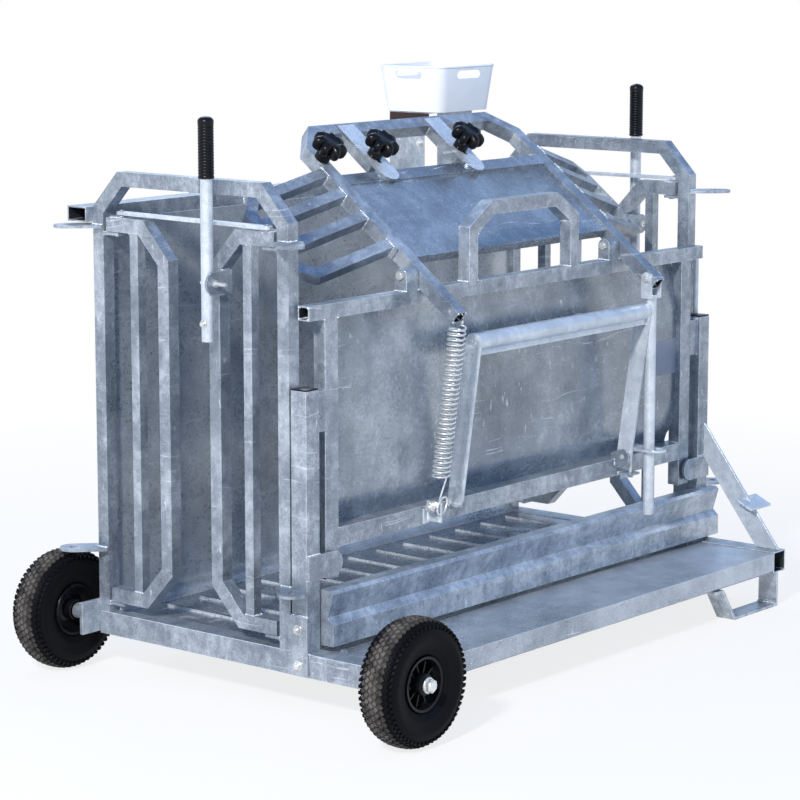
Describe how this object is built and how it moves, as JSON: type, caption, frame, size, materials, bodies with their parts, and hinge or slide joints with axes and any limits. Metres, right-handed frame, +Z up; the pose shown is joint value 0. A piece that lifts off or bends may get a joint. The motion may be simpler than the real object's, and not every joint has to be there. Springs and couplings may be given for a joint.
{
  "type": "sheep and goat squeeze crate",
  "caption": "Wheeled steel squeeze crate for a sheep or goat: swing gates at both ends, a tilting side panel, a hood that clamps down, a side platform and a tool tray.",
  "frame": {"origin": "on the ground, at the middle of the whole object's box", "axes": "+X along the crate from the entry gate (wheels) to the exit gate (feet), +Y away from the operator's platform, +Z up"},
  "size_m": [1.677, 1.0692, 1.25],
  "materials": {
    "galvanised_steel": "hot-dip galvanised, dull spangle with streaks",
    "bright_zinc": "bright zinc plated",
    "black_plastic": "moulded black plastic",
    "tyre_rubber": "dusty black rubber",
    "white_plastic": "moulded white plastic"
  },
  "bodies": {
    "root": {"base_frame": "galvanised_steel", "floor_tread": "galvanised_steel", "platform_deck": "galvanised_steel", "foot_near": "galvanised_steel", "foot_far": "galvanised_steel", "entry_gate_frame": "galvanised_steel", "exit_gate_frame": "galvanised_steel", "entry_column": "galvanised_steel", "entry_column_cap": "black_plastic", "exit_column": "galvanised_steel", "exit_column_cap": "black_plastic", "panel_hinge_pin_entry": "galvanised_steel", "panel_hinge_pin_exit": "galvanised_steel", "toe_rail": "galvanised_steel", "exit_brace": "galvanised_steel", "drop_pin": "galvanised_steel", "far_wall_sheet": "galvanised_steel", "far_top_rail": "galvanised_steel", "tray_bracket": "galvanised_steel", "axle_near": "galvanised_steel", "axle_far": "galvanised_steel", "wheel_nut_near": "bright_zinc", "wheel_nut_far": "bright_zinc"},
    "wheel_near": {"tyre_near": "tyre_rubber", "rim_near": "black_plastic"},
    "wheel_far": {"tyre_far": "tyre_rubber", "rim_far": "black_plastic"},
    "side_panel": {"side_panel_frame": "galvanised_steel", "side_panel_sheet": "galvanised_steel", "lock_plate_bolt": "bright_zinc", "spring_anchor": "galvanised_steel", "hood_spring": "bright_zinc", "hood_pivot_bolt_entry": "bright_zinc", "hood_pivot_bolt_exit": "bright_zinc"},
    "hood": {"hood_frame": "galvanised_steel", "entry_wing": "galvanised_steel", "exit_wing": "galvanised_steel", "clamp_rod_bolt": "bright_zinc"},
    "hood_sheet": {"hood_sheet": "galvanised_steel"},
    "clamp_rod": {"clamp_rod": "galvanised_steel"},
    "release_bar": {"release_bar": "galvanised_steel"},
    "lock_plate": {"lock_plate": "galvanised_steel"},
    "tray": {"tray": "white_plastic"},
    "star_knob_1": {"star_knob_1": "black_plastic"},
    "star_knob_2": {"star_knob_2": "black_plastic"},
    "star_knob_3": {"star_knob_3": "black_plastic"},
    "entry_leaf_far": {"entry_leaf_far": "galvanised_steel"},
    "entry_leaf_near": {"entry_leaf_near": "galvanised_steel", "entry_lever_bolt": "bright_zinc"},
    "entry_gate_link": {"entry_gate_link": "galvanised_steel"},
    "entry_lever": {"entry_lever": "galvanised_steel", "entry_lever_grip": "black_plastic"},
    "exit_leaf_far": {"exit_leaf_far": "galvanised_steel"},
    "exit_leaf_near": {"exit_leaf_near": "galvanised_steel", "exit_lever_bolt": "bright_zinc"},
    "exit_gate_link": {"exit_gate_link": "galvanised_steel"},
    "exit_lever": {"exit_lever": "galvanised_steel", "exit_lever_grip": "black_plastic"}
  },
  "joints": [
    {"name": "wheel_near_spin", "type": "hinge", "parent": "root", "child": "wheel_near", "pos_m": [-0.7085, -0.482, 0.13], "axis": [0, 1, 0], "continuous": true},
    {"name": "wheel_far_spin", "type": "hinge", "parent": "root", "child": "wheel_far", "pos_m": [-0.7085, 0.482, 0.13], "axis": [0, 1, 0], "continuous": true},
    {"name": "entry_gate_open", "type": "hinge", "parent": "root", "child": "entry_leaf_far", "pos_m": [-0.6635, 0.3495, 0.5], "axis": [0, 0, 1], "range_deg": [-80, 0]},
    {"name": "entry_near_leaf_open", "type": "hinge", "parent": "root", "child": "entry_leaf_near", "pos_m": [-0.6635, -0.0805, 0.5], "axis": [0, 0, 1], "range_deg": [0, 80]},
    {"name": "entry_link_swing", "type": "hinge", "parent": "entry_leaf_far", "child": "entry_gate_link", "pos_m": [-0.6515, 0.3495, 0.985], "axis": [0, 0, 1], "range_deg": [0, 82.5]},
    {"name": "entry_lever_pull", "type": "hinge", "parent": "entry_leaf_near", "child": "entry_lever", "pos_m": [-0.707, 0.0545, 0.867], "axis": [0, 1, 0], "range_deg": [-6, 0]},
    {"name": "exit_gate_open", "type": "hinge", "parent": "root", "child": "exit_leaf_far", "pos_m": [0.7565, 0.3495, 0.5], "axis": [0, 0, 1], "range_deg": [0, 80]},
    {"name": "exit_near_leaf_open", "type": "hinge", "parent": "root", "child": "exit_leaf_near", "pos_m": [0.7565, -0.0805, 0.5], "axis": [0, 0, 1], "range_deg": [-80, 0]},
    {"name": "exit_link_swing", "type": "hinge", "parent": "exit_leaf_far", "child": "exit_gate_link", "pos_m": [0.7445, 0.3495, 0.985], "axis": [0, 0, 1], "range_deg": [-82.5, 0]},
    {"name": "exit_lever_pull", "type": "hinge", "parent": "exit_leaf_near", "child": "exit_lever", "pos_m": [0.8, 0.0545, 0.867], "axis": [0, 1, 0], "range_deg": [0, 6]},
    {"name": "side_panel_tilt", "type": "hinge", "parent": "root", "child": "side_panel", "pos_m": [0.0465, -0.16, 0.315], "axis": [1, 0, 0], "range_deg": [0, 15]},
    {"name": "hood_tilt", "type": "hinge", "parent": "side_panel", "child": "hood", "pos_m": [0.0465, -0.16, 0.86547], "axis": [1, 0, 0], "range_deg": [-20, 0], "stiffness_Nm_per_rad": 60, "springref_deg": 34.38, "deforming": ["hood_spring"]},
    {"name": "clamp_rod_swing", "type": "hinge", "parent": "hood", "child": "clamp_rod", "pos_m": [0.425, -0.2525, 0.79398], "axis": [1, 0, 0], "range_deg": [0, 20]},
    {"name": "release_bar_push", "type": "hinge", "parent": "side_panel", "child": "release_bar", "pos_m": [0.0965, -0.1965, 0.38], "axis": [1, 0, 0], "range_deg": [-6, 0]},
    {"name": "lock_plate_tilt", "type": "hinge", "parent": "side_panel", "child": "lock_plate", "pos_m": [0.4315, -0.1753, 0.4], "axis": [1, 0, 0], "range_deg": [-3, 0]},
    {"name": "hood_sheet_slide", "type": "slide", "parent": "hood", "child": "hood_sheet", "axis": [0, 0.7912, 0.6115], "range_m": [0, 0.02]},
    {"name": "tray_lift", "type": "slide", "parent": "root", "child": "tray", "axis": [0, 0, 1], "range_m": [0, 0.15]},
    {"name": "star_knob_1_turn", "type": "hinge", "parent": "hood", "child": "star_knob_1", "pos_m": [-0.2965, 0.09854, 1.09689], "axis": [0, -0.6115, 0.7912], "range_deg": [0, 360]},
    {"name": "star_knob_2_turn", "type": "hinge", "parent": "hood", "child": "star_knob_2", "pos_m": [-0.1385, 0.08904, 1.08955], "axis": [0, -0.6115, 0.7912], "range_deg": [0, 360]},
    {"name": "star_knob_3_turn", "type": "hinge", "parent": "hood", "child": "star_knob_3", "pos_m": [0.1615, 0.08904, 1.08955], "axis": [0, -0.6115, 0.7912], "range_deg": [0, 360]}
  ],
  "couplings": [
    {"joint": "entry_near_leaf_open", "follows": "entry_gate_open", "ratio": -1},
    {"joint": "entry_link_swing", "follows": "entry_gate_open", "ratio": -1.028},
    {"joint": "exit_near_leaf_open", "follows": "exit_gate_open", "ratio": -1},
    {"joint": "exit_link_swing", "follows": "exit_gate_open", "ratio": -1.028},
    {"joint": "clamp_rod_swing", "follows": "hood_tilt", "ratio": -1},
    {"joint": "lock_plate_tilt", "follows": "release_bar_push", "ratio": 0.5}
  ]
}
